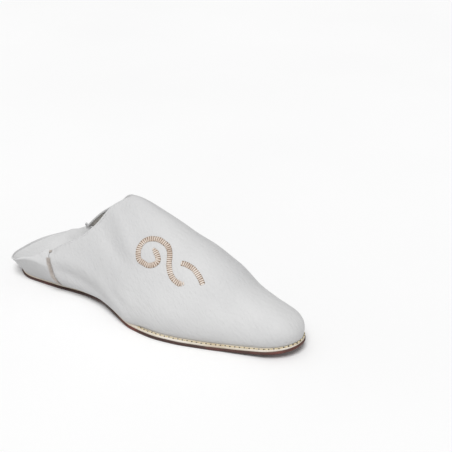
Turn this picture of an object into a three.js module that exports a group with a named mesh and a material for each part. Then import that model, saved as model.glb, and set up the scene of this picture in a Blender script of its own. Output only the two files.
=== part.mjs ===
// Babouche slipper for the right foot, trodden down at the heel.
// Millimetres. +X points to the toe, +Y to the inner (left) side, +Z up; the sole stands on z = 0.
// The slipper is a stack of flat leather layers with a soft hollow upper on it: vamp and quarters are one
// shell, and the back piece is a low wall round the heel that folds over and lies forward on the insole.

import * as THREE from 'three';
import { mergeVertices } from 'three/addons/utils/BufferGeometryUtils.js';

// ---------------------------------------------------------------------------------- driving dimensions

const LENGTH = 270;            // outsole, from heel to toe
const OUTSOLE_THICK = 2.4;
const MIDSOLE_THICK = 2.2;
const INSOLE_THICK = 2.2;
const LEATHER = 1.8;           // wall of the upper, with its lining
const GAP = 0.3;               // between neighbouring pieces
const MIDSOLE_INSET = 0.6;     // the midsole stands back from the outsole's edge
const FEATHER_INSET = 2.8;     // where the upper's outer face meets the midsole
const NOSE_INSET = 1.4;        // and the same at the tip of the toe
const INSOLE_INSET = FEATHER_INSET + LEATHER + 0.6;

const HEEL_RADIUS = 24;        // how far from the heel's end the outline takes to reach its full width
const HEEL_SQUARE = 2.4;       // 2 is a round end, more is squarer
const TOE_RADIUS = 36;
const TOE_SQUARE = 2.0;
const NOSE_RADIUS = 14;        // rounding of the toe box in side view
const NOSE_SQUARE = 2.8;

const SEAM_X = 50;             // side seams between quarters and back piece
const PEAK_X = 118;            // where the collar crosses the instep
const CREST = 0.6;             // part of the quarter's section that lies below its widest line
const FOLD_OUT = 8.6;          // the folded back stands this far outside its own foot line
const FOLD_LIFT = 4.5;         // how far the leather rises before it turns over
const WALL_BULGE = [0.55, 0.2];     // first handle of the wall: out, and up, as parts of the fold's
const WALL_UPRIGHT = 0.35;     // second handle: this part of the height straight below the fold
const FLAP_RUN = [0.6, 0.35];  // last handle of the flap: back towards the fold, and up towards it
const FLAP_CLEAR = 0.6;        // between the flap's end and the insole
const BLEND_FROM = 0.55;       // from here to the seam (1) the wall takes the shape of the quarters
const FLAP_END_X = 40;         // the back piece reaches this far forward on the insole

const TOE_SPRING = 6.5;
const HEEL_SPRING = 2;
const ARCH_HEIGHT = 2.2;
const HEEL_FLAT = [0.08, 0.26];     // stretches of the length that lie flat on the floor
const BALL_FLAT = [0.54, 0.74];

// Outline of the sole: half widths to the outer (right) and inner (left) side.
const OUTLINE = [
  { x: 0, outer: 20.5, inner: 24 },
  { x: 25, outer: 22.5, inner: 26.5 },
  { x: 50, outer: 22.2, inner: 26 },
  { x: 75, outer: 20.4, inner: 24.5 },
  { x: 97, outer: 24, inner: 26 },
  { x: 120, outer: 33.5, inner: 30.5 },
  { x: 142, outer: 41.8, inner: 36.5 },
  { x: 163, outer: 44, inner: 40.5 },
  { x: 181, outer: 42, inner: 41.5 },
  { x: 203, outer: 36.4, inner: 38.5 },
  { x: 224, outer: 30.4, inner: 31.6 },
  { x: 244, outer: 26.4, inner: 25.6 },
  { x: LENGTH, outer: 26, inner: 22.6 },
];

// Cross-sections of the upper. Each half is one cubic curve from the foot line to the ridge:
// flare and low place its first handle outside and above the foot line, crown is the second handle's
// distance from the ridge, top the ridge's height, and lean the ridge's shift to the inner side.
const SECTIONS = [
  { x: 50, top: 51, crown: 15, flareOuter: 29, flareInner: 24, low: 26, lean: 0 },
  { x: 75, top: 75, crown: 12, flareOuter: 32, flareInner: 26, low: 15, lean: 0 },
  { x: 100, top: 90.5, crown: 11, flareOuter: 28, flareInner: 25, low: 10, lean: 0.5 },
  { x: 120, top: 92, crown: 13, flareOuter: 22, flareInner: 21, low: 14, lean: 1 },
  { x: 143, top: 84.2, crown: 18, flareOuter: 16, flareInner: 18, low: 16, lean: 1.5 },
  { x: 171, top: 69, crown: 23, flareOuter: 12, flareInner: 14, low: 17, lean: 1.5 },
  { x: 188, top: 61.6, crown: 24, flareOuter: 10, flareInner: 12, low: 16, lean: 1 },
  { x: 201, top: 57, crown: 24, flareOuter: 9, flareInner: 10, low: 15, lean: 0.5 },
  { x: 212, top: 52, crown: 23, flareOuter: 8, flareInner: 9, low: 14, lean: 0.3 },
  { x: 223, top: 45, crown: 21, flareOuter: 7, flareInner: 7, low: 13, lean: 0 },
  { x: 235, top: 36.6, crown: 18, flareOuter: 6, flareInner: 5.5, low: 12, lean: 0 },
  { x: 249, top: 29.4, crown: 15, flareOuter: 5, flareInner: 4.5, low: 10, lean: 0 },
  { x: 260, top: 26.6, crown: 13, flareOuter: 4, flareInner: 4, low: 9, lean: 0 },
  { x: LENGTH, top: 25, crown: 12, flareOuter: 4, flareInner: 4, low: 8, lean: 0 },
];

// Height of the collar's edge on each side, from the side seams to the instep.
const COLLAR = [
  { x: 50, outer: 39, inner: 41 },
  { x: 60, outer: 43.5, inner: 47.5 },
  { x: 68, outer: 47.5, inner: 55 },
  { x: 80, outer: 55, inner: 65 },
  { x: 90, outer: 63.5, inner: 73 },
  { x: 100, outer: 74, inner: 79.5 },
  { x: 110, outer: 85, inner: 87 },
  { x: PEAK_X, outer: 92, inner: 92 },
];

// Height of the fold where the back piece turns over, by distance from the heel's end.
const FOLD = [
  { x: -8, outer: 12, inner: 12 },
  { x: 3, outer: 15, inner: 15.5 },
  { x: 25, outer: 24.5, inner: 23.5 },
  { x: 50, outer: 30.5, inner: 31.5 },
];

const SOLE_STATIONS = 56;
const QUARTER_COLUMNS = 16;    // from the side seams to the instep
const VAMP_COLUMNS = 26;       // from the instep to the toe
const SECTION_ROWS = 14;       // from the foot line to the collar or ridge
const COUNTER_COLUMNS = 36;    // round the heel
const COUNTER_ROWS = 18;       // up the wall, over the fold and along the flap

// ------------------------------------------------------------------------------------------ small maths

const clamp01 = (value) => Math.min(1, Math.max(0, value));
const mix = THREE.MathUtils.lerp;
const smooth = (value, low, high) => THREE.MathUtils.smoothstep(value, low, high);

// Value of one column of a table at x, along a curve through the rows that never overshoots them.
function column(table, key, x) {
  const last = table.length - 1;
  if (x <= table[0].x) return table[0][key];
  if (x >= table[last].x) return table[last][key];
  const slope = (k) => (table[k + 1][key] - table[k][key]) / (table[k + 1].x - table[k].x);
  const tangent = (k) => {
    if (k === 0) return slope(0);
    if (k === last) return slope(last - 1);
    const before = slope(k - 1);
    const after = slope(k);
    return before * after <= 0 ? 0 : (2 * before * after) / (before + after);
  };
  const i = table.findIndex((row) => row.x > x) - 1;
  const width = table[i + 1].x - table[i].x;
  const u = (x - table[i].x) / width;
  const rest = 1 - u;
  return table[i][key] * (1 + 2 * u) * rest * rest
    + table[i + 1][key] * u * u * (3 - 2 * u)
    + width * u * rest * (tangent(i) * rest - tangent(i + 1) * u);
}

// Point of a cubic curve, given its four control points.
function cubic(a, b, c, d, t) {
  const rest = 1 - t;
  return new THREE.Vector3()
    .addScaledVector(a, rest * rest * rest)
    .addScaledVector(b, 3 * rest * rest * t)
    .addScaledVector(c, 3 * rest * t * t)
    .addScaledVector(d, t * t * t);
}

// ------------------------------------------------------------------------------------- the last's shape

// 0 at a rounded end, 1 once the distance from it passes the radius.
function roundedEnd(distance, radius, square) {
  const u = clamp01(distance / radius);
  return (1 - (1 - u) ** square) ** (1 / square);
}

// Half width of the outline on one side (-1 outer, +1 inner), drawn in by an inset all round.
function halfWidth(side, x, inset) {
  const full = column(OUTLINE, side < 0 ? 'outer' : 'inner', x) - inset;
  const heel = roundedEnd(x - inset, HEEL_RADIUS - inset, HEEL_SQUARE);
  const toe = roundedEnd(LENGTH - inset - x, TOE_RADIUS - inset, TOE_SQUARE);
  return full * heel * toe;
}

// Half width of the line where the upper meets the midsole; it comes closest to the edge at the toe.
function footWidth(side, x) {
  const full = column(OUTLINE, side < 0 ? 'outer' : 'inner', x) - FEATHER_INSET;
  const heel = roundedEnd(x - FEATHER_INSET, HEEL_RADIUS - FEATHER_INSET, HEEL_SQUARE);
  const toe = roundedEnd(LENGTH - NOSE_INSET - x, TOE_RADIUS - NOSE_INSET, TOE_SQUARE);
  return full * heel * toe;
}

// Height of the sole's underside: flat under heel and ball, a low arch between, spring at both ends.
function underside(x) {
  const s = x / LENGTH;
  const toe = clamp01((s - BALL_FLAT[1]) / (1 - BALL_FLAT[1]));
  const heel = clamp01((HEEL_FLAT[0] - s) / HEEL_FLAT[0]);
  const arch = clamp01((s - HEEL_FLAT[1]) / (BALL_FLAT[0] - HEEL_FLAT[1]));
  return TOE_SPRING * toe * toe + HEEL_SPRING * heel * heel + ARCH_HEIGHT * Math.sin(Math.PI * arch) ** 2;
}

const MIDSOLE_BASE = OUTSOLE_THICK + GAP;
const FOOT_LINE = MIDSOLE_BASE + MIDSOLE_THICK + GAP;
const footLine = (x) => underside(x) + FOOT_LINE;

// Point of the upper's outer face at x, where t runs from the foot line (0) to the ridge (1).
function upperPoint(side, x, t) {
  const base = footWidth(side, x);
  const nose = roundedEnd(LENGTH - NOSE_INSET - x, NOSE_RADIUS, NOSE_SQUARE);
  const flare = column(SECTIONS, side < 0 ? 'flareOuter' : 'flareInner', x) * nose;
  const floor = footLine(x);
  const low = floor + column(SECTIONS, 'low', x) * nose;
  const top = floor + (column(SECTIONS, 'top', x) - floor) * nose;
  const ridge = column(SECTIONS, 'lean', x) * nose;
  const crown = column(SECTIONS, 'crown', x) * nose;
  return cubic(
    new THREE.Vector3(x, side * base, floor),
    new THREE.Vector3(x, side * (base + flare), low),
    new THREE.Vector3(x, ridge + side * crown, top),
    new THREE.Vector3(x, ridge, top),
    t,
  );
}

// How far up its section the leather reaches at x: to the collar's height, or all the way to the ridge.
function reach(side, x) {
  if (x >= PEAK_X) return 1;
  const height = column(COLLAR, side < 0 ? 'outer' : 'inner', x);
  let low = 0;
  let high = 1;
  for (let step = 0; step < 40; step += 1) {
    const middle = (low + high) / 2;
    if (upperPoint(side, x, middle).z < height) low = middle;
    else high = middle;
  }
  return high;
}

// -------------------------------------------------------------------------------------- solid builders

function solidFrom(positions, triangles) {
  const geometry = new THREE.BufferGeometry();
  geometry.setAttribute('position', new THREE.Float32BufferAttribute(positions, 3));
  geometry.setIndex(triangles);
  return geometry;
}

// Drops the triangles that have lost an edge where a grid closes on a point.
function withoutSlivers(triangles) {
  const kept = [];
  for (let i = 0; i < triangles.length; i += 3) {
    const [a, b, c] = triangles.slice(i, i + 3);
    if (a !== b && b !== c && c !== a) kept.push(a, b, c);
  }
  return kept;
}

// One open surface from grids of points; a flipped grid has its rows wound the other way.
function surfaceFrom(grids) {
  const positions = [];
  const triangles = [];
  for (const { points, flipped } of grids) {
    const start = positions.length / 3;
    const rows = points[0].length;
    points.flat().forEach((point) => positions.push(point.x, point.y, point.z));
    for (let i = 0; i + 1 < points.length; i += 1) {
      for (let j = 0; j + 1 < rows; j += 1) {
        const a = start + i * rows + j;
        const [b, c, d] = [a + rows, a + rows + 1, a + 1];
        triangles.push(...(flipped ? [a, c, b, a, d, c] : [a, b, c, a, c, d]));
      }
    }
  }
  const merged = mergeVertices(solidFrom(positions, triangles), 1e-4);
  merged.setIndex(withoutSlivers([...merged.index.array]));
  merged.computeVertexNormals();
  return merged;
}

// A leather shell: the surface is its outer face, the inner face lies one wall inside it, and a rim joins
// the two along every open edge. On the foot line the wall is measured level, so the rim stands flat, and
// at the side seam it is measured square to the slipper's length, so the two pieces meet edge to edge.
function leatherShell(grids, wall, seam) {
  const outer = surfaceFrom(grids);
  const position = outer.getAttribute('position');
  const normal = outer.getAttribute('normal');
  const count = position.count;
  const positions = [...position.array];
  const point = new THREE.Vector3();
  const inward = new THREE.Vector3();
  for (let i = 0; i < count; i += 1) {
    point.fromBufferAttribute(position, i);
    inward.fromBufferAttribute(normal, i);
    if (Math.abs(point.z - footLine(point.x)) < 0.01) inward.setZ(0).normalize();
    if (Math.abs(point.x - seam) < 0.01) inward.setX(0).normalize();
    point.addScaledVector(inward, -wall);
    if (point.z < footLine(point.x)) point.z = footLine(point.x);
    positions.push(point.x, point.y, point.z);
  }
  const faces = [...outer.index.array];
  const triangles = [...faces];
  const edges = new Set();
  for (let i = 0; i < faces.length; i += 3) {
    const corners = faces.slice(i, i + 3);
    triangles.push(corners[0] + count, corners[2] + count, corners[1] + count);
    corners.forEach((from, k) => edges.add(`${from}_${corners[(k + 1) % 3]}`));
  }
  for (const edge of edges) {
    const [from, to] = edge.split('_').map(Number);
    if (edges.has(`${to}_${from}`)) continue;
    triangles.push(to, from, from + count, to, from + count, to + count);
  }
  return solidFrom(positions, triangles);
}

// A flat layer cut to the outline, drawn in by inset, between two heights above the underside.
function layer(inset, bottom, top) {
  const positions = [];
  const triangles = [];
  for (let i = 0; i <= SOLE_STATIONS; i += 1) {
    const along = (1 - Math.cos((Math.PI * i) / SOLE_STATIONS)) / 2;
    const x = mix(inset, LENGTH - inset, along);
    const outer = -halfWidth(-1, x, inset);
    const inner = halfWidth(1, x, inset);
    const z = underside(x);
    positions.push(x, outer, z + bottom, x, inner, z + bottom, x, inner, z + top, x, outer, z + top);
  }
  for (let i = 0; i < SOLE_STATIONS; i += 1) {
    for (let k = 0; k < 4; k += 1) {
      const a = 4 * i + k;
      const b = 4 * i + ((k + 1) % 4);
      triangles.push(a, b, b + 4, a, b + 4, a + 4);
    }
  }
  const merged = mergeVertices(solidFrom(positions, triangles), 1e-4);
  merged.setIndex(withoutSlivers([...merged.index.array]));
  return merged;
}

// --------------------------------------------------------------------------------------------- the pieces

// Vamp and quarters: columns run from the side seam past the instep to the toe, rows from the foot line up.
function upperHalf(side) {
  const columns = [];
  const start = SEAM_X + GAP;
  const end = LENGTH - NOSE_INSET;
  for (let i = 0; i <= QUARTER_COLUMNS + VAMP_COLUMNS; i += 1) {
    const quarter = clamp01(i / QUARTER_COLUMNS);
    const vamp = clamp01((i - QUARTER_COLUMNS) / VAMP_COLUMNS);
    const x = i <= QUARTER_COLUMNS
      ? mix(start, PEAK_X, Math.sin((quarter * Math.PI) / 2))
      : mix(PEAK_X, end, Math.sin((vamp * Math.PI) / 2));
    const full = reach(side, x);
    const rows = [];
    for (let j = 0; j <= SECTION_ROWS; j += 1) rows.push(upperPoint(side, x, (full * j) / SECTION_ROWS));
    columns.push(rows);
  }
  return columns;
}

function upperSolid() {
  return leatherShell([
    { points: upperHalf(-1), flipped: false },
    { points: upperHalf(1), flipped: true },
  ], LEATHER, SEAM_X + GAP);
}

// The back piece. s runs from the outer side seam (-1) round the heel (0) to the inner one (+1), and v up
// the wall (0 to 0.5), over the fold and along the flap (0.5 to 1). Near the seams it takes the shape
// of the quarters, so that the two pieces meet edge to edge.
function heelBase(s) {
  const side = s < 0 ? -1 : 1;
  const x = mix(FEATHER_INSET, SEAM_X, 1 - Math.cos((Math.abs(s) * Math.PI) / 2));
  return new THREE.Vector3(x, side * footWidth(side, x), footLine(x));
}

function counterPoint(s, v) {
  const side = s < 0 ? -1 : 1;
  const turn = Math.abs(s);
  const base = heelBase(s);
  const step = 0.02;
  const along = heelBase(Math.min(1, s + step)).sub(heelBase(Math.max(-1, s - step)));
  const out = new THREE.Vector3(-along.y, along.x, 0).normalize();
  out.lerp(new THREE.Vector3(0, side, 0), smooth(turn, 0.5, 1)).normalize();

  const full = reach(side, SEAM_X);
  const share = v < 0.5 ? 2 * v * CREST : CREST + (2 * v - 1) * (1 - CREST);
  const shift = base.clone().sub(upperPoint(side, SEAM_X, 0));
  const quarter = upperPoint(side, SEAM_X, share * full).add(shift);
  const quarterEdge = upperPoint(side, SEAM_X, full);

  const fold = base.clone().addScaledVector(out, FOLD_OUT);
  fold.setZ(column(FOLD, side < 0 ? 'outer' : 'inner', fold.x));
  const rise = fold.z - base.z;
  const flapLow = footLine(FLAP_END_X) + INSOLE_THICK + GAP + LEATHER + FLAP_CLEAR;
  const edge = new THREE.Vector3(
    mix(FLAP_END_X, SEAM_X, turn ** 2),
    quarterEdge.y * Math.sin((turn * Math.PI) / 2),
    mix(flapLow, quarterEdge.z, turn ** 2.5),
  );
  const inward = edge.clone().sub(fold).setZ(0);
  const bulge = base.clone().addScaledVector(out, FOLD_OUT * WALL_BULGE[0]);
  bulge.z += rise * WALL_BULGE[1];
  const below = fold.clone().setZ(fold.z - WALL_UPRIGHT * rise);
  const above = fold.clone().setZ(fold.z + FOLD_LIFT);
  const run = edge.clone().addScaledVector(inward, -FLAP_RUN[0]).setZ(mix(edge.z, fold.z, FLAP_RUN[1]) + 1);
  const shape = v < 0.5
    ? cubic(base, bulge, below, fold, 2 * v)
    : cubic(fold, above, run, edge, 2 * v - 1);
  return shape.lerp(quarter, smooth(turn, BLEND_FROM, 1));
}

function counterSolid() {
  const points = [];
  for (let i = 0; i <= COUNTER_COLUMNS; i += 1) {
    const s = mix(1, -1, i / COUNTER_COLUMNS);
    const rows = [];
    for (let j = 0; j <= COUNTER_ROWS; j += 1) rows.push(counterPoint(s, j / COUNTER_ROWS));
    points.push(rows);
  }
  return leatherShell([{ points, flipped: false }], LEATHER, SEAM_X);
}

// ------------------------------------------------------------------------------------------ the assembly

function piece(name, geometry, color, roughness) {
  const flat = geometry.index ? geometry.toNonIndexed() : geometry;
  flat.computeVertexNormals();
  const mesh = new THREE.Mesh(flat, new THREE.MeshStandardMaterial({ color, roughness, metalness: 0 }));
  mesh.name = name;
  return mesh;
}

const slipper = new THREE.Group();
slipper.name = 'babouche_slipper';
slipper.add(
  piece('outsole', layer(0, 0, OUTSOLE_THICK), 0x4a2e28, 0.6),
  piece('midsole', layer(MIDSOLE_INSET, MIDSOLE_BASE, MIDSOLE_BASE + MIDSOLE_THICK), 0xe2d6c6, 0.7),
  piece('insole', layer(INSOLE_INSET, FOOT_LINE, FOOT_LINE + INSOLE_THICK), 0xe6ddd0, 0.75),
  piece('upper', upperSolid(), 0xe0e0de, 0.55),
  piece('heel_counter', counterSolid(), 0xdededc, 0.55),
);

// The origin is the middle of the slipper's box, on the floor.
const box = new THREE.Box3().setFromObject(slipper);
const centre = box.getCenter(new THREE.Vector3());
slipper.position.set(-centre.x, -centre.y, -box.min.z);
slipper.updateMatrixWorld(true);

export default slipper;
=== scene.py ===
"""A babouche slipper for the right foot, in soft white leather, trodden down at the heel. The sections
follow the maker: the sole's layers, the upper and its lining, the folded back and the collar's edge, then
seams, sewing and embroidery."""

import bmesh
import bpy
import numpy as np
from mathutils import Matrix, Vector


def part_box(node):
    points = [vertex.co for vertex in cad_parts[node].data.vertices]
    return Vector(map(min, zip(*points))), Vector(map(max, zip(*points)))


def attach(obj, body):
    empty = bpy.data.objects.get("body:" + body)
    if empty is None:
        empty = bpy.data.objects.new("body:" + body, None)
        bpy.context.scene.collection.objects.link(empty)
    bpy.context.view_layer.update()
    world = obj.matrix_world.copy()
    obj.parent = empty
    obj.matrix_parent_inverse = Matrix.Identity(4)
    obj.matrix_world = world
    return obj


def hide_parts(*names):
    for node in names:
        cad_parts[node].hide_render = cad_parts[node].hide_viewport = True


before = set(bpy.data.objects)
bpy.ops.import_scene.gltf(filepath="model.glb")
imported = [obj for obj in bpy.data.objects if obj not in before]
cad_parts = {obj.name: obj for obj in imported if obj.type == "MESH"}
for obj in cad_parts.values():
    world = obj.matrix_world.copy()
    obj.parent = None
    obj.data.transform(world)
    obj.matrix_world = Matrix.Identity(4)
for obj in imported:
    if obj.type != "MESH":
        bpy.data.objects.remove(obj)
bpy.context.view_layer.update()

# ------------------------------------------------------------------------------------------------ outsole
# The outsole is a flat cut of firm brown leather, waxed on its edge. It lies flat under heel and ball,
# rises a little under the arch and springs up at the toe. Sewing through the midsole holds it.

SOLE_LENGTH = 270.0
SOLE_STATIONS = [0, 25, 50, 75, 97, 120, 142, 163, 181, 203, 224, 244, 270]
SOLE_OUTER = [20.5, 22.5, 22.2, 20.4, 24, 33.5, 41.8, 44, 42, 36.4, 30.4, 26.4, 26.5]
SOLE_INNER = [24, 26.5, 26, 24.5, 26, 30.5, 36.5, 40.5, 41.5, 38.5, 30.8, 25.4, 25.4]
OUTSOLE_THICK = 2.4
HEEL_ROUND = 24                # how long the rounding of the outline is at either end, and how square
HEEL_SQUARE = 2.4
TOE_ROUND = 36
TOE_SQUARE = 2.0
TOE_SPRING = 6.5               # how far the underside rises at the toe, the heel and the arch
HEEL_SPRING = 2.0
ARCH_RISE = 2.2
MIDLINE_START = 24.0           # the middle line that a layer's faces are drawn together to
MIDLINE_END = SOLE_LENGTH - 34

# Everything is drawn in millimetres from the heel's end, the foot's midline and the floor.
heel_end = np.array([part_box("outsole")[0].x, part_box("outsole")[0].y + max(SOLE_OUTER) / 1000, 0.0])


def drawn(stations, values, x):
    """Value at x on a curve through the stations: a cubic between each two, whose slope at a station is the
    harmonic mean of the slopes on both sides, or nothing where they turn, so it never overshoots."""
    stations, values = np.asarray(stations, float), np.asarray(values, float)
    slope = np.diff(values) / np.diff(stations)
    before, after = slope[:-1], slope[1:]
    alike = before * after > 0
    middle = np.where(alike, 2 * before * after / np.where(alike, before + after, 1), 0)
    tangent = np.concatenate([slope[:1], middle, slope[-1:]])
    x = np.clip(x, stations[0], stations[-1])
    k = np.clip(np.searchsorted(stations, x, side="right") - 1, 0, len(slope) - 1)
    width = stations[k + 1] - stations[k]
    u = (x - stations[k]) / width
    ends = values[k] * (1 + 2 * u) * (1 - u) ** 2 + values[k + 1] * u * u * (3 - 2 * u)
    return ends + width * u * (1 - u) * (tangent[k] * (1 - u) - tangent[k + 1] * u)


def by_side(side, stations, outer, inner, x):
    """Value at x on the outer side's curve (side -1) or on the inner side's (side 1)."""
    return np.where(side < 0, drawn(stations, outer, x), drawn(stations, inner, x))


def eased(value, low, high):
    """0 below low, 1 above high, and three times the square less twice the cube of the share between."""
    u = np.clip((value - low) / (high - low), 0, 1)
    return u * u * (3 - 2 * u)


def rounded_end(distance, radius, square):
    """0 at a rounded end and 1 beyond the radius, along a circle raised to the power square."""
    u = np.clip(distance / radius, 0, 1)
    return (1 - (1 - u) ** square) ** (1 / square)


def half_width(side, x, inset, toe_inset):
    """Half width of the outline on one side (-1 outer, +1 inner): the drawn width less the inset, times the
    rounding at heel and toe."""
    full = by_side(side, SOLE_STATIONS, SOLE_OUTER, SOLE_INNER, x)
    heel = rounded_end(x - inset, HEEL_ROUND - inset, HEEL_SQUARE)
    toe = rounded_end(SOLE_LENGTH - toe_inset - x, TOE_ROUND - toe_inset, TOE_SQUARE)
    return (full - inset) * heel * toe


def underside(x):
    """Height of the sole's underside: the square of the way into the spring, over the last 26 hundredths of
    the length at the toe and the first 8 at the heel, and for the arch, from 26 to 54 hundredths, the square
    of half a sine wave."""
    s = x / SOLE_LENGTH
    toe = np.clip((s - 0.74) / 0.26, 0, 1)
    heel = np.clip((0.08 - s) / 0.08, 0, 1)
    arch = np.clip((s - 0.26) / 0.28, 0, 1)
    return TOE_SPRING * toe ** 2 + HEEL_SPRING * heel ** 2 + ARCH_RISE * np.sin(np.pi * arch) ** 2


def outline(inset, toe_inset, count):
    """Once round the sole at an inset: x goes as the cosine of the turn, first along the outer side to the
    toe, then back along the inner one, and y is the half width there."""
    turn = np.arange(count) / count * 2 * np.pi
    x = inset + (SOLE_LENGTH - inset - toe_inset) * (1 - np.cos(turn)) / 2
    side = np.where(turn < np.pi, -1.0, 1.0)
    return np.stack([x, side * half_width(side, x, inset, toe_inset)], -1)


def sole_layer(profile, count=360):
    """A closed layer from its edge's profile, rows of (share of the width, inset, height): each row is the
    outline at that inset, drawn together towards the middle line by the share."""
    rows = []
    for share, inset, height in profile:
        edge = outline(inset, inset, count)
        mirror = edge[(-np.arange(count)) % count]
        along_foot = np.clip(edge[:, 0], MIDLINE_START, MIDLINE_END)
        middle = np.stack([along_foot, (edge[:, 1] + mirror[:, 1]) / 2], -1)
        flat = middle + share * (edge - middle)
        rows.append(np.column_stack([flat, underside(flat[:, 0]) + height]))
    return np.stack(rows, 1)


def quads(columns, rows, closed):
    """Corners of a grid's quads, where point number = column times rows, plus row."""
    i, j = np.meshgrid(np.arange(columns if closed else columns - 1), np.arange(rows - 1), indexing="ij")
    near, far = i * rows + j, (i + 1) % columns * rows + j
    return np.stack([near, far, far + 1, near + 1], -1).reshape(-1, 4)


def piece(name, grids, closed=False, turned=()):
    """One mesh from grids of points in millimetres; grids named in turned have their quads wound the other
    way. Points that coincide, where grids meet or close on a pole, are merged."""
    points, faces, start = [], [], 0
    for k, grid in enumerate(grids):
        corners = quads(*grid.shape[:2], closed) + start
        points.append(grid.reshape(-1, 3))
        faces.append(corners[:, ::-1] if k in turned else corners)
        start += grid.shape[0] * grid.shape[1]
    mesh = bpy.data.meshes.new(name)
    mesh.from_pydata(np.concatenate(points) / 1000 + heel_end, [], np.concatenate(faces))
    merged = bmesh.new()
    merged.from_mesh(mesh)
    bmesh.ops.remove_doubles(merged, verts=merged.verts, dist=1e-6)
    merged.to_mesh(mesh)
    merged.free()
    mesh.polygons.foreach_set("use_smooth", np.ones(len(mesh.polygons), bool))
    made = bpy.data.objects.new(name, mesh)
    bpy.context.scene.collection.objects.link(made)
    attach(made, "root")
    return made


def material(name):
    """A new node material, its node tree and its shader."""
    made = bpy.data.materials.new(name)
    made.use_nodes = True
    return made, made.node_tree, made.node_tree.nodes["Principled BSDF"]


def pattern(tree, kind, scale, stretch=(1, 1, 1), turn=(0, 0, 0), **inputs):
    """A texture node read in the piece's own metres, stretched and turned about the axes."""
    place = tree.nodes.new("ShaderNodeTexCoord")
    mapping = tree.nodes.new("ShaderNodeMapping")
    mapping.vector_type = "TEXTURE"
    mapping.inputs["Scale"].default_value = stretch
    mapping.inputs["Rotation"].default_value = turn
    texture = tree.nodes.new(kind)
    texture.inputs["Scale"].default_value = scale
    for key, value in inputs.items():
        texture.inputs[key.replace("_", " ")].default_value = value
    tree.links.new(place.outputs["Object"], mapping.inputs["Vector"])
    tree.links.new(mapping.outputs["Vector"], texture.inputs["Vector"])
    return texture


def ramp(tree, source, stops):
    """A colour ramp over a texture's value: stops are (position, colour)."""
    node = tree.nodes.new("ShaderNodeValToRGB")
    tree.links.new(source, node.inputs["Fac"])
    while len(node.color_ramp.elements) < len(stops):
        node.color_ramp.elements.new(0.5)
    for element, (position, colour) in zip(node.color_ramp.elements, stops):
        element.position = position
        element.color = (*colour, 1)
    return node.outputs["Color"]


def bumped(tree, shader, layers):
    """Bump nodes one after another: layers are (height socket, strength, depth in metres)."""
    before = None
    for height, strength, depth in layers:
        node = tree.nodes.new("ShaderNodeBump")
        node.inputs["Strength"].default_value = strength
        node.inputs["Distance"].default_value = depth
        tree.links.new(height, node.inputs["Height"])
        if before is not None:
            tree.links.new(before.outputs["Normal"], node.inputs["Normal"])
        before = node
    tree.links.new(before.outputs["Normal"], shader.inputs["Normal"])


outsole_leather, tree, shader = material("outsole_leather")
patches = pattern(tree, "ShaderNodeTexNoise", 45, stretch=(2.2, 1, 1), Detail=4.0, Roughness=0.6)
fibres = pattern(tree, "ShaderNodeTexNoise", 700, stretch=(4, 1, 0.6), Detail=5.0, Roughness=0.65)
brown = ramp(tree, patches.outputs["Fac"], [
    (0.30, (0.030, 0.013, 0.010)), (0.50, (0.060, 0.024, 0.017)),
    (0.62, (0.125, 0.036, 0.026)), (0.78, (0.210, 0.062, 0.044))])
tree.links.new(brown, shader.inputs["Base Color"])
tree.links.new(ramp(tree, fibres.outputs["Fac"], [(0.3, (0.38,) * 3), (0.7, (0.62,) * 3)]),
               shader.inputs["Roughness"])
bumped(tree, shader, [(patches.outputs["Fac"], 0.25, 0.0006), (fibres.outputs["Fac"], 0.35, 0.0002)])

outsole = piece("outsole_leather_layer", [sole_layer([
    (0.0, 1.4, 0.0), (0.4, 1.4, 0.0), (0.8, 1.4, 0.0), (1.0, 1.4, 0.0), (1.0, 0.6, 0.06), (1.0, 0.2, 0.3),
    (1.0, 0.0, 0.8), (1.0, 0.0, 1.5), (1.0, 0.15, 2.05), (1.0, 0.5, OUTSOLE_THICK),
    (0.8, 0.5, OUTSOLE_THICK), (0.4, 0.5, OUTSOLE_THICK), (0.0, 0.5, OUTSOLE_THICK)])], closed=True)
outsole.data.materials.append(outsole_leather)
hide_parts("outsole")

# ------------------------------------------------------------------------------------------------ midsole
# A pale layer of vegetable-tanned leather on the outsole. Its top edge is pared to a slope outside the
# upper, and carries the sewing; the cut edge below is burnished and nearly white.

MIDSOLE_INSET = 0.6
MIDSOLE_BASE = OUTSOLE_THICK + 0.05
MIDSOLE_TOP = 4.9
PARED = 0.9                    # the slope's drop at the edge

midsole_leather, tree, shader = material("midsole_leather")
tan = pattern(tree, "ShaderNodeTexNoise", 60, stretch=(3, 1, 1), Detail=4.0)
grain = pattern(tree, "ShaderNodeTexNoise", 900, stretch=(3, 1, 0.5), Detail=4.0)
tree.links.new(ramp(tree, tan.outputs["Fac"], [
    (0.32, (0.50, 0.41, 0.31)), (0.5, (0.63, 0.56, 0.46)), (0.68, (0.76, 0.71, 0.64))]),
    shader.inputs["Base Color"])
shader.inputs["Roughness"].default_value = 0.5
bumped(tree, shader, [(grain.outputs["Fac"], 0.4, 0.00025)])

midsole = piece("midsole_layer", [sole_layer([
    (0.0, 0.9, MIDSOLE_BASE), (0.6, 0.9, MIDSOLE_BASE), (1.0, 0.9, MIDSOLE_BASE),
    (1.0, MIDSOLE_INSET, MIDSOLE_BASE + 0.35), (1.0, MIDSOLE_INSET - 0.05, MIDSOLE_BASE + 0.9),
    (1.0, MIDSOLE_INSET + 0.1, MIDSOLE_TOP - PARED - 0.1),
    (1.0, MIDSOLE_INSET + 0.5, MIDSOLE_TOP - PARED + 0.2),
    (1.0, MIDSOLE_INSET + 1.3, MIDSOLE_TOP - 0.35), (1.0, MIDSOLE_INSET + 2.1, MIDSOLE_TOP),
    (0.6, MIDSOLE_INSET + 2.1, MIDSOLE_TOP), (0.0, MIDSOLE_INSET + 2.1, MIDSOLE_TOP)])], closed=True)
midsole.data.materials.append(midsole_leather)
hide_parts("midsole")

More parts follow.
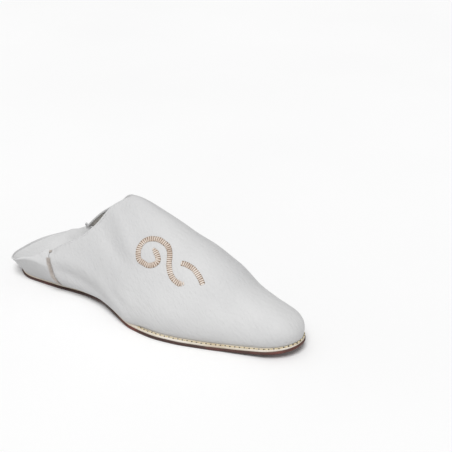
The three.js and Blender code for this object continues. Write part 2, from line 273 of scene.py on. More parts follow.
# ------------------------------------------------------------------------------------------------- insole
# The insole is natural lining leather glued over the midsole inside the upper. It is pressed a little
# hollow under the heel and the ball by the last.

INSOLE_INSET = 5.2
INSOLE_TOP = 7.4
PRESSED = [(0.7, 38, 26, 15), (0.5, 172, 32, 24)]    # how deep a hollow is, its x, its length and width


def pressed(points):
    """Lowers the insole's top by a bell curve for each hollow, one under the heel and one under the ball."""
    x, y, z = np.moveaxis(points, -1, 0)
    top = eased(z - underside(x), INSOLE_TOP - 1.2, INSOLE_TOP)
    hollow = sum(deep * np.exp(-((x - at) / long) ** 2 - (y / wide) ** 2) for deep, at, long, wide in PRESSED)
    return np.stack([x, y, z - top * hollow], -1)


insole_leather, tree, shader = material("insole_leather")
shade = pattern(tree, "ShaderNodeTexNoise", 28, Detail=3.0)
pores = pattern(tree, "ShaderNodeTexVoronoi", 1100)
tree.links.new(ramp(tree, shade.outputs["Fac"], [
    (0.35, (0.60, 0.54, 0.45)), (0.65, (0.74, 0.69, 0.61))]), shader.inputs["Base Color"])
shader.inputs["Roughness"].default_value = 0.68
bumped(tree, shader, [(pores.outputs["Distance"], 0.3, 0.0002)])

insole = piece("insole_layer", [pressed(sole_layer([
    (0.0, INSOLE_INSET, 4.95), (1.0, INSOLE_INSET, 4.95), (1.0, INSOLE_INSET - 0.2, 5.4),
    (1.0, INSOLE_INSET, INSOLE_TOP - 0.5), (1.0, INSOLE_INSET + 0.5, INSOLE_TOP - 0.05),
    *[(share, INSOLE_INSET + 0.9, INSOLE_TOP) for share in np.linspace(1, 0, 13)]]))], closed=True)
insole.data.materials.append(insole_leather)
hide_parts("insole")

# -------------------------------------------------------------------------------------------------- upper
# Vamp and quarters are one cut of soft white sheepskin, wetted and pulled over a last, so it stands high
# over the instep and lies in broad soft folds at the sides. Its edge is sewn to the midsole.

SEAM_X = 50.0
PEAK_X = 118.0
SECTION_STATIONS = [50, 75, 100, 120, 143, 171, 188, 201, 212, 223, 235, 249, 260, 270]
RIDGE_HEIGHT = [51, 75, 90.5, 92, 84.2, 70.3, 63.6, 57, 50.5, 43, 37, 31.6, 27.4, 24.4]
CROWN = [15, 12, 11, 13, 18, 23, 24, 23.5, 22, 20, 18, 16, 15, 14]
FLARE_OUTER = [29, 32, 28, 22, 16, 12, 10, 9, 8, 7, 6, 5, 4, 4]
FLARE_INNER = [24, 26, 25, 21, 18, 14, 12, 9.5, 8, 6.5, 5.5, 5, 4.5, 4]
LOW = [26, 15, 10, 14, 16, 17, 16, 15, 14, 13, 12, 10, 9, 8]
LEAN = [0, 0, 0.5, 1, 1.5, 1.5, 1, 0.5, 0.3, 0, 0, 0, 0, 0]
COLLAR_STATIONS = [50, 60, 68, 80, 90, 96, 101, 110, PEAK_X]
COLLAR_OUTER = [37.8, 43.2, 47.5, 55, 63.5, 71.5, 78, 87, 92]
COLLAR_INNER = [40.5, 49.6, 57, 65.5, 72.6, 76.5, 80.2, 88, 92]
LEATHER = 1.1
FOOT_INSET = 2.8
NOSE_INSET = 1.4
NOSE_ROUND = 16                # how long the rounding of the upper's nose is, and how square
NOSE_SQUARE = 2.7
DRAWN_OVER = 2.4               # how much further out the edge lies at heel and waist, and half as much lower
AXIS_HEIGHT = 22               # of the line along the foot that the leather's folds are pushed away from
SEAM_LEAN_LOW = 7              # how far forward a side seam leans below, and how little above
SEAM_LEAN_HIGH = 1
EDGE_STAND = 6.5               # how far outward the inner quarter's edge stands, and where it is most
EDGE_STAND_X = 72
TURNED_IN = [(1.0, 0.34), (0.15, 0.3)]    # how far inward and down the leather's edge goes, end first
SHADE_FULL_BELOW = 0.004           # metres above the floor between which the leather's painted shade fades out
SHADE_GONE_ABOVE = 0.030


def over(x):
    """How much further out the leather starts: at heel and waist it is drawn over the midsole's edge, and
    round the forepart it keeps back, so that the sewing shows."""
    return DRAWN_OVER * (1 - eased(x, 132, 156))


def foot_line(x):
    """Height of the line where the upper meets the midsole."""
    return underside(x) + MIDSOLE_TOP + 0.3 - over(x) / 2


def section(side, x, t):
    """Point of the upper's outer face: half of each cross-section is one cubic curve from the foot line
    (t = 0), swelling outwards by the flare, to the ridge (t = 1), which it reaches level, over the crown."""
    side, x, t = np.broadcast_arrays(np.asarray(side, float), np.asarray(x, float), np.asarray(t, float))
    base = half_width(side, x, FOOT_INSET - over(x), NOSE_INSET)
    nose = rounded_end(SOLE_LENGTH - NOSE_INSET - x, NOSE_ROUND, NOSE_SQUARE)
    flare = by_side(side, SECTION_STATIONS, FLARE_OUTER, FLARE_INNER, x)
    floor = foot_line(x)
    low = floor + drawn(SECTION_STATIONS, LOW, x) * nose
    top = floor + (drawn(SECTION_STATIONS, RIDGE_HEIGHT, x) - floor) * nose
    ridge = drawn(SECTION_STATIONS, LEAN, x) * nose
    crown = drawn(SECTION_STATIONS, CROWN, x) * nose
    a, b, c, d = (1 - t) ** 3, 3 * (1 - t) ** 2 * t, 3 * (1 - t) * t * t, t ** 3
    y = a * side * base + b * side * (base + flare * nose - over(x)) + c * (ridge + side * crown) + d * ridge
    return np.stack([x, y, a * floor + b * low + (c + d) * top], -1)


def reach(side, x):
    """How far up its section the leather goes: to the collar's height, found by halving, or to the ridge."""
    height = by_side(side, COLLAR_STATIONS, COLLAR_OUTER, COLLAR_INNER, x)
    low, high = np.zeros_like(x), np.ones_like(x)
    for _ in range(40):
        middle = (low + high) / 2
        below = section(side, x, middle)[..., 2] < height
        low, high = np.where(below, middle, low), np.where(below, high, middle)
    return np.where(x >= PEAK_X, 1.0, high)


def outward(points):
    """Unit vectors straight away from a line along the foot; level below it."""
    away = points * [0, 1, 1] - [0, 0, AXIS_HEIGHT]
    away[..., 2] = np.maximum(away[..., 2], 0)
    return away / np.maximum(np.linalg.norm(away, axis=-1, keepdims=True), 1e-9)


# Soft folds of the leather: on which side, how deep (below 0) or high, how far from its line it has fallen to
# about a third, and the line it follows over the sections as (x, t).
FOLDS = [
    (-1, 2.5, 6.0, [
        (102, .79), (105.5, .77), (113.5, .705), (121.5, .647), (128, .605), (132.5, .575), (139, .54)]),
    (-1, -2.4, 7.5, [
        (93, .71), (98, .68), (104.6, .62), (113.6, .555), (124, .505), (133, .485), (142, .47)]),
    (-1, 1.1, 5.5, [(55, .43), (60.5, .417), (71, .409), (84, .379), (97, .343), (109, .30), (118, .26)]),
    (-1, -3.2, 6.5, [(51, .27), (62, .26), (71.5, .255), (81, .24), (91.5, .21), (104, .17), (116, .12)]),
    (-1, 0.9, 9.0, [(116, .42), (137, .45), (150, .427), (160, .377), (174, .32), (186, .28)]),
    (-1, -0.9, 3.0, [(121, .27), (126, .24), (131, .222), (137, .19), (142, .16)]),
    (-1, -0.7, 2.6, [(127, .28), (131, .257), (138, .224), (146, .20)]),
    (-1, -1.2, 9.0, [(202, .58), (214, .55), (225, .515), (235, .48), (245, .45)]),
    (-1, 0.6, 6.0, [(246, .86), (252, .83), (259, .81)]),
    (-1, -1.8, 3.0, [(50.5, .51), (52.5, .505), (56, .52)]),
    (1, 1.3, 6.0, [(104, .78), (112, .71), (121, .65), (130, .60), (139, .55)]),
    (1, -1.6, 7.0, [(95, .71), (104, .63), (114, .57), (125, .52), (138, .50)]),
    (1, 0.7, 6.0, [(56, .42), (72, .41), (86, .39), (100, .35), (114, .30)]),
    (1, -2.0, 7.0, [(51, .27), (66, .26), (80, .24), (94, .21), (110, .15)]),
    (1, -0.9, 3.2, [(118, .28), (126, .25), (134, .21), (143, .17)]),
    (1, -0.6, 2.8, [(108, .30), (116, .27), (124, .22)]),
    (1, -0.9, 9.0, [(205, .76), (220, .71), (236, .65)]),
]


def along(path, points):
    """Distance of each point from a line of points, and how far along the line, from 0 to 1, its nearest
    place is."""
    start, step = path[:-1], np.diff(path, axis=0)
    length = np.linalg.norm(step, axis=1)
    ends = np.concatenate([[0], np.cumsum(length)])
    nearest, place = np.full(points.shape[:-1], 1e9), np.zeros(points.shape[:-1])
    for k in range(len(step)):
        share = np.clip(((points - start[k]) @ step[k]) / length[k] ** 2, 0, 1)
        distance = np.linalg.norm(points - start[k] - share[..., None] * step[k], axis=-1)
        closer = distance < nearest
        nearest = np.where(closer, distance, nearest)
        place = np.where(closer, (ends[k] + share * length[k]) / ends[-1], place)
    return nearest, place


def folded(points):
    """The leather pushed along its outward direction by every fold: the depth, times a bell curve of the
    distance from the fold's line, times a softened half sine wave along it; and by a slow unevenness."""
    x, y, z = np.moveaxis(points, -1, 0)
    push = np.zeros_like(x)
    for side, depth, width, line in FOLDS:
        stations, shares = np.array(line, float).T
        finer = np.linspace(stations[0], stations[-1], 13)
        path = section(side, finer, drawn(stations, shares, finer))
        distance, place = along(path, points)
        push += depth * np.exp(-(distance / width) ** 2) * np.sin(np.pi * (0.08 + 0.84 * place)) ** 0.8
    push += 0.22 * np.sin(x / 11 + y / 17 + 1) * np.sin(z / 9 - x / 23) + 0.12 * np.sin(x / 5.5 - z / 7 + 2)
    free = eased(z - foot_line(x), 1, 9) * eased(SOLE_LENGTH - NOSE_INSET - x, 0, 12)
    return points + outward(points) * (push * free)[..., None]


def leaning(points):
    """Carries points near the side seams forward, most low down, so that the seams lean: the lean lessens
    from 12 to 34 mm of height, times a bell curve of the distance from the seam. The inner quarter's edge
    stands outward, by a bell curve along the collar that grows over the last 22 mm of height."""
    x, y, z = np.moveaxis(points, -1, 0)
    lean = SEAM_LEAN_LOW - (SEAM_LEAN_LOW - SEAM_LEAN_HIGH) * np.clip((z - 12) / 22, 0, 1)
    forward = lean * np.exp(-((x - SEAM_X) / 17) ** 2)
    edge = drawn(COLLAR_STATIONS, COLLAR_INNER, x)
    stand = EDGE_STAND * np.exp(-((x - EDGE_STAND_X) / 13) ** 2) * eased(z, edge - 22, edge)
    return points + np.stack([forward, np.where(y > 0, stand, 0), 0 * x], -1)


def half_upper(side, rows, columns, start):
    """One side of the upper as a grid: columns of sections bunched towards instep and toe, and rows from the
    foot line to the collar or the ridge."""
    quarter = columns // 3
    to_peak = start + (PEAK_X - start) * np.sin(np.linspace(0, 1, quarter, endpoint=False) * np.pi / 2)
    onward = np.sin(np.linspace(0, 1, columns - quarter) * np.pi / 2)
    to_toe = PEAK_X + (SOLE_LENGTH - NOSE_INSET - PEAK_X) * onward
    x = np.concatenate([to_peak, to_toe])
    t = reach(side, x)[:, None] * np.linspace(0, 1, rows)
    return leaning(folded(section(side, x[:, None], t)))


def turned_in(grid):
    """The grid with rows more below its first: the leather's edge bends in onto the midsole."""
    first = grid[:, :1]
    inwards = outward(first) * [1, 1, 0]
    bent = [first - inwards * far - [0, 0, down] for far, down in TURNED_IN]
    return np.concatenate([*bent, grid], 1)


def walled(made, thickness):
    """Gives an open sheet its thickness, on the inner side of the face that was drawn."""
    wall = made.modifiers.new("wall", "SOLIDIFY")
    wall.thickness = thickness / 1000
    wall.offset = -1
    wall.use_rim = True


def soft_leather(name, light, dark, shade_factor, unshaded=None):
    """White sheepskin: fine pebbles drawn out along the pull of the last, finer pores between them, and
    slow clouds between two tones. Down by the sole, or where the named attribute is 0, its colour is
    multiplied by the factor given: painted shade, darker towards the floor or where the attribute marks."""
    made, tree, shader = material(name)
    clouds = pattern(tree, "ShaderNodeTexNoise", 16, Detail=3.0, Roughness=0.55)
    pebbles = pattern(tree, "ShaderNodeTexNoise", 520, stretch=(2.1, 1, 0.85), turn=(0, 0.95, 0),
                      Detail=1.2, Roughness=0.45, Distortion=0.2)
    pores = pattern(tree, "ShaderNodeTexVoronoi", 1150, stretch=(1.7, 1, 0.9), turn=(0, 0.95, 0))
    draws = pattern(tree, "ShaderNodeTexNoise", 150, stretch=(2.0, 1, 0.8), turn=(0, 0.85, 0), Detail=1.0)
    shade_mapping = tree.nodes.new("ShaderNodeMapRange")
    shade_mapping.interpolation_type = "SMOOTHSTEP"
    shade_mapping.inputs["From Min"].default_value = 0.0 if unshaded else SHADE_FULL_BELOW
    shade_mapping.inputs["From Max"].default_value = 1.0 if unshaded else SHADE_GONE_ABOVE
    shade_mapping.inputs["To Min"].default_value = shade_factor
    if unshaded:
        painted = tree.nodes.new("ShaderNodeAttribute")
        painted.attribute_name = unshaded
        tree.links.new(painted.outputs["Fac"], shade_mapping.inputs["Value"])
    else:
        place = tree.nodes.new("ShaderNodeTexCoord")
        apart = tree.nodes.new("ShaderNodeSeparateXYZ")
        tree.links.new(place.outputs["Object"], apart.inputs["Vector"])
        tree.links.new(apart.outputs["Z"], shade_mapping.inputs["Value"])
    shaded_colour = tree.nodes.new("ShaderNodeVectorMath")
    shaded_colour.operation = "SCALE"
    tree.links.new(ramp(tree, clouds.outputs["Fac"], [(0.35, dark), (0.62, light)]), shaded_colour.inputs["Vector"])
    tree.links.new(shade_mapping.outputs["Result"], shaded_colour.inputs["Scale"])
    tree.links.new(shaded_colour.outputs["Vector"], shader.inputs["Base Color"])
    tree.links.new(ramp(tree, pebbles.outputs["Fac"], [(0.35, (0.58,) * 3), (0.65, (0.48,) * 3)]),
                   shader.inputs["Roughness"])
    shader.inputs["Specular IOR Level"].default_value = 0.2
    bumped(tree, shader, [(draws.outputs["Fac"], 0.3, 0.0014), (pebbles.outputs["Fac"], 0.7, 0.0007),
                          (pores.outputs["Distance"], 0.3, 0.0002)])
    return made


# Painted shade: the upper's colour is multiplied by 0.9 near the floor, fading out by 30 mm up.
upper_leather = soft_leather("upper_leather", (0.63, 0.63, 0.63), (0.59, 0.59, 0.593), 0.9)
halves = [turned_in(half_upper(side, rows=74, columns=236, start=SEAM_X + 0.15)) for side in (-1, 1)]
upper = piece("upper_sheepskin", halves, turned=(1,))
upper.data.materials.append(upper_leather)
walled(upper, LEATHER)
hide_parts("upper")

# ------------------------------------------------------------------------------------------------- lining
# The lining is a thinner natural skin glued inside vamp and quarters, a hair's breadth below the collar.

# The lining's pale natural tone is set lighter than the upper's white: partly its own colour, partly painted
# light for the shaded throat.
lining_leather, tree, shader = material("lining_leather")
shade = pattern(tree, "ShaderNodeTexNoise", 22, Detail=3.0)
pores = pattern(tree, "ShaderNodeTexVoronoi", 1000, stretch=(1.5, 1, 1))
tree.links.new(ramp(tree, shade.outputs["Fac"], [
    (0.35, (0.70, 0.69, 0.67)), (0.65, (0.78, 0.775, 0.755))]), shader.inputs["Base Color"])
shader.inputs["Roughness"].default_value = 0.65
bumped(tree, shader, [(pores.outputs["Distance"], 0.3, 0.0002)])


def inside(grid, depth):
    """The grid moved in square to itself: the normal is the cross product of its two directions. Points
    near the middle line are drawn towards it instead, so that the two sides don't cross."""
    normal = np.cross(np.gradient(grid, axis=0), np.gradient(grid, axis=1))
    normal /= np.maximum(np.linalg.norm(normal, axis=-1, keepdims=True), 1e-9)
    away = np.sign(np.sum(normal * outward(grid), -1, keepdims=True))
    moved = grid - normal * away * depth
    moved[..., 1] = np.where(np.abs(grid[..., 1]) > depth, moved[..., 1], grid[..., 1] * 0.4)
    return moved


LINING_SHOWN = 112             # columns of the lining's 120: it stops short of the toe's end
LINING_CLOSED = 80             # the last of them, from just behind the peak, close on the middle line

linings = []
for side in (-1, 1):
    half = half_upper(side, rows=40, columns=120, start=SEAM_X + 1.0)[:LINING_SHOWN]
    sheet = inside(half, LEATHER + 0.15)
    sheet[-LINING_CLOSED:, -1, 1] = 0.0
    linings.append(sheet)
lining = piece("lining", linings, turned=(1,))
lining.data.materials.append(lining_leather)
walled(lining, 0.5)

# ---------------------------------------------------------------------------------------------- back piece
# The back is a piece of the same sheepskin round the heel. It has been trodden down: a low wall stands at
# the heel, turns over along a soft fold, and the rest lies forward on the insole as a flap.

FLAP_END = 40.0
FLAP_HEIGHT = 6.1              # of the flap's edge over the foot line, at the middle
WALL_SHARE = 0.6               # of the quarter's section that the wall takes up at the seams
FOLD_OUT = 6.2                 # how far out the fold stands, and how much more halfway to the seams
FOLD_SWELL = 2.2
LAP = [12, -4, 3]              # how far the flap's inner corner goes forward, inward and up
FOLD_STATIONS = [-8, 3, 25, 50]
FOLD_OUTER = [12.8, 15.8, 24.6, 30]
FOLD_INNER = [12.8, 16.3, 24.2, 31.8]


def cubic(points, t):
    """A cubic curve's point at t, from its four control points."""
    a, b, c, d = points
    return (1 - t) ** 3 * a + 3 * (1 - t) ** 2 * t * b + 3 * (1 - t) * t * t * c + t ** 3 * d


def heel_line(s):
    """The foot line round the heel, from the outer seam (s = -1) to the inner one (s = 1); x goes as the
    cosine of a quarter turn."""
    side = np.where(s < 0, -1.0, 1.0)
    inset = FOOT_INSET - DRAWN_OVER
    x = inset + (SEAM_X - inset) * (1 - np.cos(np.abs(s) * np.pi / 2))
    return np.stack([x, side * half_width(side, x, inset, NOSE_INSET), foot_line(x)], -1)


def trodden(s, v):
    """Point of the back: for v up to a half, the wall, a cubic from the foot line to the fold; beyond, the
    flap, a cubic from the fold to the flap's edge. Near the seams both pass into the quarters' section;
    on the inner side the flap's corner laps forward against the quarter."""
    s, v = np.broadcast_arrays(s, v)
    side, turn = np.where(s < 0, -1.0, 1.0), np.abs(s)
    base = heel_line(s)
    run = heel_line(np.minimum(s + 0.02, 1)) - heel_line(np.maximum(s - 0.02, -1))
    out = np.stack([-run[..., 1], run[..., 0], 0 * s], -1)
    out /= np.linalg.norm(out, axis=-1, keepdims=True)
    sideways = eased(turn, 0.5, 1)[..., None]
    out = out * (1 - sideways) + np.stack([0 * s, side, 0 * s], -1) * sideways
    out /= np.linalg.norm(out, axis=-1, keepdims=True)

    seam = np.full_like(s, SEAM_X)
    full = reach(side, seam)
    share = np.where(v < 0.5, 2 * v * WALL_SHARE, WALL_SHARE + (2 * v - 1) * (1 - WALL_SHARE))
    quarter = section(side, seam, share * full) + base - section(side, seam, 0 * s)
    _, edge_y, edge_z = np.moveaxis(section(side, seam, full), -1, 0)

    fold = base + out * (FOLD_OUT + FOLD_SWELL * np.sin(turn * np.pi))[..., None]
    fold[..., 2] = by_side(side, FOLD_STATIONS, FOLD_OUTER, FOLD_INNER, fold[..., 0])
    rise = fold[..., 2] - base[..., 2]
    low = foot_line(np.array(FLAP_END)) + FLAP_HEIGHT
    spread = np.sin(turn * np.pi / 2)
    lap = np.where(side > 0, eased(turn, 0.55, 0.8) * (1 - eased(turn, 0.8, 1)), 0)
    edge = np.stack([FLAP_END + (SEAM_X - FLAP_END) * turn ** 2, edge_y * spread,
                     low + (edge_z - low) * spread ** 3], -1) + lap[..., None] * LAP
    up = np.array([0.0, 0.0, 1.0])
    inwards = (edge - fold) * [1, 1, 0]

    # The curves' inner control points; crisp is 1 at the middle of the heel, where the fold is sharpest.
    crisp = eased(1 - turn, 0.0, 0.7)[..., None]
    bulge = base + out * FOLD_OUT * (0.45 - 0.25 * crisp) + up * (rise * 0.25)[..., None]
    below = fold - up * (rise * 0.35)[..., None] * (1 - 0.6 * crisp) - out * 2.2 * crisp
    above = fold + up * (4.5 - 2.7 * crisp) - out * 2.0 * crisp
    last = edge - inwards * 0.6
    last[..., 2] = edge[..., 2] * 0.65 + fold[..., 2] * 0.35 + 1.6
    t = (2 * v)[..., None]
    shape = np.where(t < 1, cubic((base, bulge, below, fold), np.minimum(t, 1)),
                     cubic((fold, above, last, edge), np.maximum(t - 1, 0)))
    blend = eased(turn, np.where(v < 0.5, 0.55, 0.55 + 0.25 * eased(v, 0.5, 0.7)), 1)[..., None]
    return shape * (1 - blend) + quarter * blend


def creased(points, s, v):
    """The flap's treading marks, pushed up or down: two long waves across it and pleats that fan out from
    either corner of the fold; and the wall below the fold pushed in and out in waves round the heel."""
    flap = eased(v, 0.5, 0.62) * eased(1 - np.abs(s), 0.05, 0.3)
    waves = 0.7 * np.sin(5.5 * v * np.pi + 2.2 * s) * np.exp(-(s / 0.7) ** 2)
    pleats = 0.5 * np.sin(s * 26 + v * 7) * np.exp(-((np.abs(s) - 0.62) / 0.16) ** 2)
    wall = 0.35 * np.sin(s * 15 + 1) * np.sin(np.pi * np.clip(2 * v, 0, 1)) * eased(1 - np.abs(s), 0.1, 0.4)
    lifted = points.copy()
    lifted[..., 2] += flap * (waves + pleats)
    return lifted + outward(points) * [0, 1, 0] * wall[..., None]


s, v = np.meshgrid(np.linspace(1, -1, 221), np.linspace(0, 1, 101), indexing="ij")
# The counter is the upper's sheepskin painted lighter, as painted light on the flap; its wall under the fold
# is painted darker, down to 0.8, as painted shade.
counter_leather = soft_leather("counter_leather", (0.66, 0.66, 0.66), (0.62, 0.62, 0.622), 0.80, "unshaded")
back = piece("back_sheepskin", [leaning(creased(trodden(s, v), s, v))])
# Painted shade mask: 0 on the wall below the fold, deepest at the middle of the heel, and 1 on the flap.
unshaded = 1 - (1 - eased(v, 0.44, 0.52)) * eased(1 - np.abs(s), -0.3, 0.3)
back.data.attributes.new("unshaded", "FLOAT", "POINT").data.foreach_set("value", unshaded.ravel())
back.data.materials.append(counter_leather)
walled(back, 1.5)
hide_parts("heel_counter")

# --------------------------------------------------------------------------------------------- collar edge
# The quarters' edge is turned in over the lining and glued, which leaves a narrow rounded rim of sheepskin
# from one side seam over the instep to the other.

RIM = 1.15                     # half the rim's width and height
RIM_SUNK = 0.9                 # how deep its middle lies, and how much deeper its ends dip, over a few points
END_SUNK = 2.2
END_POINTS = 7
EVENED = 30                    # times that its path is averaged with its neighbours


def from_end(count):
    """How many places each of a row is from the nearer end."""
    return np.minimum(np.arange(count), np.arange(count)[::-1])


def rope(path, away, wide, high, sides=10):
    """A tube carried along a path: at each point an ellipse across the path, wide along the surface and
    high away from it, that closes to a point at both ends."""
    run = np.gradient(path, axis=0)
    run /= np.linalg.norm(run, axis=1, keepdims=True)
    away = away - np.sum(away * run, 1, keepdims=True) * run
    away /= np.linalg.norm(away, axis=1, keepdims=True)
    across = np.cross(run, away)
    turn = np.arange(sides + 1) / sides * 2 * np.pi
    girth = np.sqrt(np.clip(from_end(len(path)) / 3, 0, 1))
    ring = (np.cos(turn)[None, :, None] * across[:, None] * wide
            + np.sin(turn)[None, :, None] * away[:, None] * high)
    return path[:, None] + ring * girth[:, None, None]


def collar(side, x):
    """The collar's edge on one side, with the seams' lean and the folds."""
    return leaning(folded(section(side, x, reach(side, x))))


x = np.linspace(SEAM_X + 0.5, PEAK_X, 120)
rim_path = np.concatenate([collar(-1, x), collar(1, x)[-2::-1]])
sunk = RIM_SUNK + END_SUNK * np.exp(-(from_end(len(rim_path)) / END_POINTS) ** 2)
rim_path = rim_path - outward(rim_path) * [0, 1, 1] * sunk[:, None]
for _ in range(EVENED):
    rim_path[1:-1] = (rim_path[:-2] + 2 * rim_path[1:-1] + rim_path[2:]) / 4
rim = piece("collar_rim", [rope(rim_path, outward(rim_path), RIM, RIM)], turned=(0,))
rim.data.materials.append(upper_leather)

# --------------------------------------------------------------------------------------------- side seams
# Quarters and back are butted at the sides, and closed with a bar of beige silk in satin stitch that leans
# forward to the sole. Two single threads hold the corner over the bar.

SILK_WIDTH = 4.6
SEAM_PITCH = 1.05
SEAM_FROM = 0.04               # places on the section, foot line to ridge, between which the bar lies
SEAM_TO = 0.42
KNOT_X = [0.3, 1.1]            # the two single threads: how far before the seam, and where on the section
KNOT_T = [0.49, 0.495]


def threads(centre, across, away, length, width, height, rings=7, sides=6):
    """Threads lying on the leather, one for each centre: the girth of each shrinks to nothing at both ends
    as the square root of one less the fourth power of the place along it, and the section is an ellipse."""
    place = np.sin(np.linspace(-1, 1, rings) * np.pi / 2)
    girth = np.sqrt(np.clip(1 - place ** 4, 0, 1))
    turn = np.arange(sides + 1) / sides * 2 * np.pi
    beside = np.cross(across, away)
    spine = centre[:, None] + across[:, None] * (place[None, :, None] * np.reshape(length, (-1, 1, 1)) / 2)
    ring = (np.cos(turn)[:, None] * beside[:, None, None] * width / 2
            + np.sin(turn)[:, None] * away[:, None, None] * height)
    grids = spine[:, :, None] + girth[None, :, None, None] * ring
    return list(grids)


def stitched(path, away, pitch, seed):
    """Stations a pitch apart along a path, with the direction along it and away from the leather, and a
    little unevenness in each stitch's turn."""
    step = np.linalg.norm(np.diff(path, axis=0), axis=1)
    gone = np.concatenate([[0], np.cumsum(step)])
    stops = np.arange(pitch / 2, gone[-1], pitch)
    at = np.stack([np.interp(stops, gone, path[:, k]) for k in range(3)], -1)
    up = np.stack([np.interp(stops, gone, away[:, k]) for k in range(3)], -1)
    run = np.gradient(at, axis=0)
    wobble = np.random.default_rng(seed).normal(0, 0.07, (len(at), 1))
    run = run / np.linalg.norm(run, axis=1, keepdims=True)
    up = up - np.sum(up * run, 1, keepdims=True) * run
    up /= np.linalg.norm(up, axis=1, keepdims=True)
    across = np.cross(up, run) + wobble * run
    return at, across / np.linalg.norm(across, axis=1, keepdims=True), up


def on_leather(side, x, t, lift=0.0):
    """Points on the finished upper at (x, t), and the leather's normals there, from the cross product of two
    small steps; the lift raises the points."""
    here = leaning(folded(section(side, x, t)))
    ahead = leaning(folded(section(side, x + 0.5, t))) - here
    higher = leaning(folded(section(side, x, t + 0.01))) - here
    normal = np.cross(ahead, higher) * -side
    normal /= np.linalg.norm(normal, axis=-1, keepdims=True)
    return here + normal * lift, normal


def silk(name, dark, middle, light):
    """Twisted silk in three tones that change from hank to hank, with fine strands and a weak sheen."""
    made, tree, shader = material(name)
    strands = pattern(tree, "ShaderNodeTexNoise", 1500, Detail=2.0)
    hanks = pattern(tree, "ShaderNodeTexNoise", 140, Detail=2.0)
    tree.links.new(ramp(tree, hanks.outputs["Fac"], [(0.3, dark), (0.5, middle), (0.7, light)]),
                   shader.inputs["Base Color"])
    shader.inputs["Roughness"].default_value = 0.45
    shader.inputs["Sheen Weight"].default_value = 0.3
    shader.inputs["Sheen Roughness"].default_value = 0.4
    bumped(tree, shader, [(strands.outputs["Fac"], 0.5, 0.0002)])
    return made


seam_silk = silk("seam_silk", (0.37, 0.32, 0.285), (0.48, 0.43, 0.39), (0.62, 0.57, 0.53))

for side, name in ((-1, "side_seam_outer"), (1, "side_seam_inner")):
    t = np.linspace(SEAM_FROM, SEAM_TO, 40)
    line, normal = on_leather(side, np.full_like(t, SEAM_X + 0.3), t, lift=0.3)
    at, across, up = stitched(line, normal, SEAM_PITCH, seed=3)
    bar = threads(at + up * 0.25, across, up, np.full(len(at), SILK_WIDTH), SEAM_PITCH, 0.7)
    knot, lying = on_leather(side, SEAM_X + np.array(KNOT_X), np.array(KNOT_T), lift=0.7)
    standing = np.cross(lying, np.tile([1.0, 0, 0], (2, 1)))
    seam = piece(name, bar + threads(knot, standing, lying, np.full(2, 2.4), 1.0, 0.7))
    seam.data.materials.append(seam_silk)

# -------------------------------------------------------------------------------------------- sole sewing
# A waxed yellow thread runs round the pared top edge of the midsole in lock stitch, down through both
# soles. Each stitch sinks into an awl hole, whose shade is painted as a dark spot. It shows round the
# forepart only.

STITCH = 3.7
STITCH_SHOWN = 0.8             # share of a stitch that lies on top
SEWN_FROM = 150                # where along the foot the sewing begins to show
SEWN_BELOW = 0.36              # how far under the midsole's top it lies, on the slope
AWL_HOLE = 1.3

sole_thread, tree, shader = material("sole_thread")
plies = pattern(tree, "ShaderNodeTexNoise", 900, Detail=2.0)
tree.links.new(ramp(tree, plies.outputs["Fac"], [
    (0.35, (0.52, 0.42, 0.24)), (0.65, (0.76, 0.67, 0.45))]), shader.inputs["Base Color"])
shader.inputs["Roughness"].default_value = 0.55
bumped(tree, shader, [(plies.outputs["Fac"], 0.4, 0.0002)])

# Painted shade of the awl holes: dark brown spots laid on the midsole's slope.
hole_painted_shade, tree, shader = material("awl_hole_painted_shade")
hole_mottle = pattern(tree, "ShaderNodeTexNoise", 700, Detail=2.0)
tree.links.new(ramp(tree, hole_mottle.outputs["Fac"], [
    (0.4, (0.030, 0.020, 0.014)), (0.7, (0.075, 0.050, 0.032))]), shader.inputs["Base Color"])
shader.inputs["Roughness"].default_value = 0.8
bumped(tree, shader, [(hole_mottle.outputs["Fac"], 0.3, 0.0001)])

middle = (outline(MIDSOLE_INSET, MIDSOLE_INSET, 720) + outline(FOOT_INSET, NOSE_INSET, 720)) / 2
middle = np.concatenate([middle, middle[:1]])
line = np.column_stack([middle, underside(middle[:, 0]) + MIDSOLE_TOP - SEWN_BELOW])
slope = np.cross(np.gradient(line, axis=0), [0, 0, 1])
slope /= np.linalg.norm(slope, axis=1, keepdims=True)
tilt = slope * 0.4 + [0, 0, 0.9]
at, across, up = stitched(line, tilt, STITCH, seed=5)
run = np.cross(across, up)
shown = at[:, 0] > SEWN_FROM
at, run, up = at[shown], run[shown], up[shown]
stitches = threads(at + up * 0.05, run, up, np.full(len(at), STITCH * STITCH_SHOWN), 0.95, 0.5, 7, 8)
sewing = piece("sole_sewing", stitches)
sewing.data.materials.append(sole_thread)

hollows = threads(at + run * STITCH / 2, run, up, np.full(len(at), AWL_HOLE), 0.95, 0.16, 5, 8)
holes = piece("awl_holes", hollows)
holes.data.materials.append(hole_painted_shade)

# --------------------------------------------------------------------------------------------- embroidery
# On the outer side of the vamp a scroll and a short spray are worked in beige silk: close satin stitches
# straight across a narrow band. Each line is given over the sections as (x, t).

BAND_WIDTH = 4.6
SATIN_PITCH = 1.6
PADDING_SHARE = 0.44           # the padding's half width, as a share of the band's width
SECTION_LENGTH = 110           # what a whole section counts for in a line's length

# The padding's dark brown is painted shade: it shows between the satin stitches as the shadow in their gaps.
padding_painted_shade, tree, shader = material("embroidery_padding_painted_shade")
gap_mottle = pattern(tree, "ShaderNodeTexNoise", 900, Detail=3.0)
tree.links.new(ramp(tree, gap_mottle.outputs["Fac"], [
    (0.35, (0.18, 0.12, 0.085)), (0.65, (0.34, 0.24, 0.17))]), shader.inputs["Base Color"])
shader.inputs["Roughness"].default_value = 0.85
bumped(tree, shader, [(gap_mottle.outputs["Fac"], 0.4, 0.0002)])

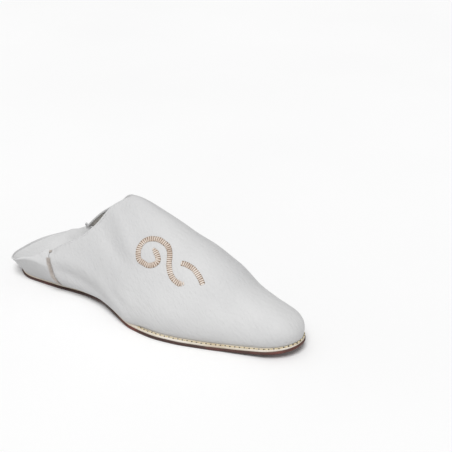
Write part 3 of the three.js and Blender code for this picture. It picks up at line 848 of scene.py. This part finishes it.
BANDS = {
    "scroll_embroidery": [
        (152.0, .668), (156.6, .650), (159.0, .618), (156.5, .575), (150.8, .548), (145.0, .548),
        (142.0, .575), (140.9, .610), (141.8, .650), (145.0, .693), (150.0, .728), (156.0, .752),
        (161.0, .755), (164.6, .728), (166.4, .690), (167.7, .648), (169.6, .612), (172.6, .578),
        (176.4, .556), (180.6, .550), (183.6, .566)],
    "spray_embroidery": [
        (176.0, .700), (180.8, .714), (185.4, .716), (189.9, .700), (193.6, .676), (197.3, .637)],
}


def smooth_path(line, count):
    """A smooth line over the sections: each coordinate is a curve through the points by their distance
    along the line."""
    x, t = np.array(line, float).T
    gone = np.concatenate([[0], np.cumsum(np.hypot(np.diff(x), np.diff(t) * SECTION_LENGTH))])
    finer = np.linspace(0, gone[-1], count)
    return drawn(gone, x, finer), drawn(gone, t, finer)


embroidery_silk = silk("embroidery_silk", (0.56, 0.46, 0.385), (0.69, 0.60, 0.525), (0.81, 0.745, 0.68))
for k, (name, line) in enumerate(BANDS.items()):
    x, t = smooth_path(line, 400)
    path, normal = on_leather(-1, x, t, lift=0.12)
    under = piece(name + "_padding", [rope(path[::4], normal[::4], BAND_WIDTH * PADDING_SHARE, 0.3)])
    under.data.materials.append(padding_painted_shade)
    at, across, up = stitched(path, normal, SATIN_PITCH, seed=11 + k)
    uneven = np.random.default_rng(20 + k).normal(0, 0.26, len(at))
    length = BAND_WIDTH * (0.6 + 0.4 * np.clip(from_end(len(at)) / 2, 0, 1)) + uneven
    band = piece(name, threads(at, across, up, length, SATIN_PITCH * 0.84, 0.75, 7, 8))
    band.data.materials.append(embroidery_silk)

# ------------------------------------------------------------------------------------------ floor and light
# A white table top under a white sky and one broad soft sun. The camera stands beyond the toe on the outer
# side, and looks down at 26 degrees.

table_mesh = bpy.data.meshes.new("table_top")
table_mesh.from_pydata([(-6, -6, 0), (6, -6, 0), (6, 6, 0), (-6, 6, 0)], [], [(0, 1, 2, 3)])
table_top = bpy.data.objects.new("table_top", table_mesh)
bpy.context.scene.collection.objects.link(table_top)
table_white, tree, shader = material("table_white")
mottle = pattern(tree, "ShaderNodeTexNoise", 3, Detail=2.0)
tree.links.new(ramp(tree, mottle.outputs["Fac"], [
    (0.3, (0.93, 0.93, 0.93)), (0.7, (0.95, 0.95, 0.95))]), shader.inputs["Base Color"])
shader.inputs["Roughness"].default_value = 0.9
table_top.data.materials.append(table_white)

sky = bpy.data.worlds.new("studio")
sky.use_nodes = True
sky.node_tree.nodes["Background"].inputs["Color"].default_value = (1, 1, 1, 1)
sky.node_tree.nodes["Background"].inputs["Strength"].default_value = 0.45
bpy.context.scene.world = sky
bpy.context.scene.view_settings.view_transform = "Standard"

sun = bpy.data.lights.new("sun", "SUN")
sun.energy = 2.1
sun.angle = np.radians(32)
holder = bpy.data.objects.new("sun", sun)
holder.rotation_euler = (np.radians(28), 0, np.radians(22))
bpy.context.scene.collection.objects.link(holder)

camera = bpy.data.objects.new("camera", bpy.data.cameras.new("camera"))
camera.data.lens = 70.4
camera.data.sensor_width = 36
camera.data.clip_end = 50
camera.location = (0.3738, -0.4987, 0.3722)
camera.rotation_euler = (np.radians(90 - 26), 0, np.radians(31.19))
bpy.context.scene.collection.objects.link(camera)
bpy.context.scene.camera = camera

bpy.context.view_layer.update()
